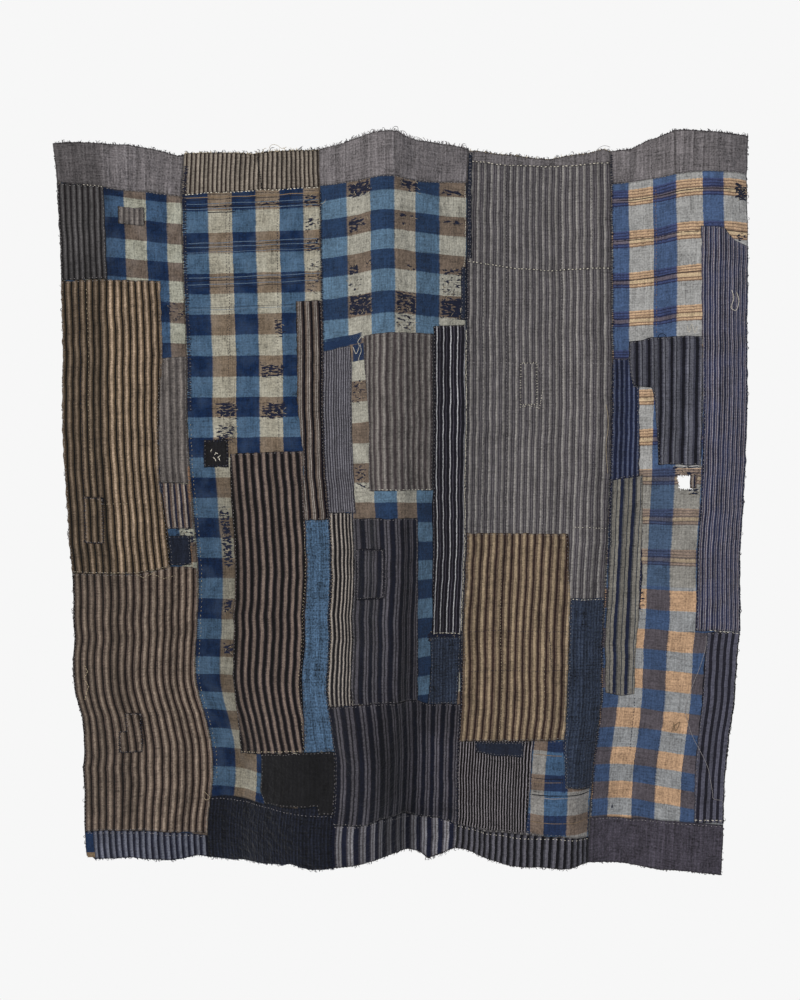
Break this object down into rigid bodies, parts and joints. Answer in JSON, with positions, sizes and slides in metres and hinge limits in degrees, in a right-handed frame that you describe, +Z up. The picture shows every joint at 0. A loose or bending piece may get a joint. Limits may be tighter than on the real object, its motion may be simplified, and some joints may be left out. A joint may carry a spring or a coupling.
{
  "type": "boro patched cloth",
  "caption": "Large coverlet of old indigo, brown and grey cotton, pieced from loom widths and heavily patched, hanging by its top edge in soft folds.",
  "frame": {"origin": "on the cloth's top edge, at the middle crest from which it hangs", "axes": "+Z up, +X to the viewer's right across the cloth, -Y out of its patched front"},
  "size_m": [1.5795, 0.2192, 1.6948],
  "materials": {
    "indigo_check": "worn plain-weave cotton, indigo and unbleached checks",
    "grey_stripe": "worn plain-weave cotton, grey stripes",
    "indigo_plaid": "worn plain-weave cotton, blue, pale and gold plaid",
    "grey_heading": "plain grey cotton",
    "brown_stripe": "worn cotton, brown, tan and black stripes",
    "dark_stripe": "worn cotton, near-black indigo stripes",
    "plain_dark": "dense plain-weave cotton, dyed near black",
    "faded_blue": "plain-weave cotton, faded indigo",
    "denim": "twill cotton, dark indigo"
  },
  "bodies": {
    "root": {"heading_1": "grey_heading", "heading_2_left": "brown_stripe", "heading_2_right": "brown_stripe", "heading_3": "grey_heading", "heading_4": "grey_heading", "heading_5_left": "grey_heading", "heading_5_right": "grey_heading", "panel_1": "indigo_check", "panel_2": "indigo_check", "panel_3": "indigo_check", "panel_4_upper": "grey_stripe", "panel_4": "grey_stripe", "panel_5": "indigo_plaid", "foot_1": "dark_stripe", "foot_2": "dark_stripe", "foot_3_left": "dark_stripe", "foot_3_right": "dark_stripe", "foot_4": "dark_stripe", "foot_5": "plain_dark", "charcoal_patch_1": "dark_stripe", "small_grey_patch_1": "grey_stripe", "brown_upper_1": "brown_stripe", "brown_lower_1": "brown_stripe", "grey_strip_1": "grey_stripe", "navy_brown_1": "dark_stripe", "navy_patch_1": "plain_dark", "upper_darn_1": "brown_stripe", "lower_darn_1": "brown_stripe", "narrow_stripes_2": "brown_stripe", "brown_black_2": "brown_stripe", "small_black_2": "plain_dark", "blue_patch_2": "faded_blue", "black_patch_2": "plain_dark", "grey_patch_3": "grey_stripe", "white_black_3": "grey_stripe", "grey_brown_3": "grey_stripe", "navy_white_3": "dark_stripe", "navy_wedge_3": "plain_dark", "navy_grey_3": "dark_stripe", "denim_patch_3": "denim", "lower_stripes_3": "dark_stripe", "darn_3": "dark_stripe", "seam_strip_4": "plain_dark", "small_patch_4": "grey_stripe", "gold_patch_4": "brown_stripe", "denim_patch_4": "denim", "pinstripe_4": "dark_stripe", "check_patch_4": "indigo_check", "small_navy_4": "plain_dark", "right_stripes_5": "grey_stripe", "charcoal_patch_5": "dark_stripe", "navy_stripes_5": "dark_stripe", "green_navy_5": "grey_stripe", "brown_scrap_5": "brown_stripe", "lower_stripes_5": "dark_stripe"}
  },
  "joints": []
}
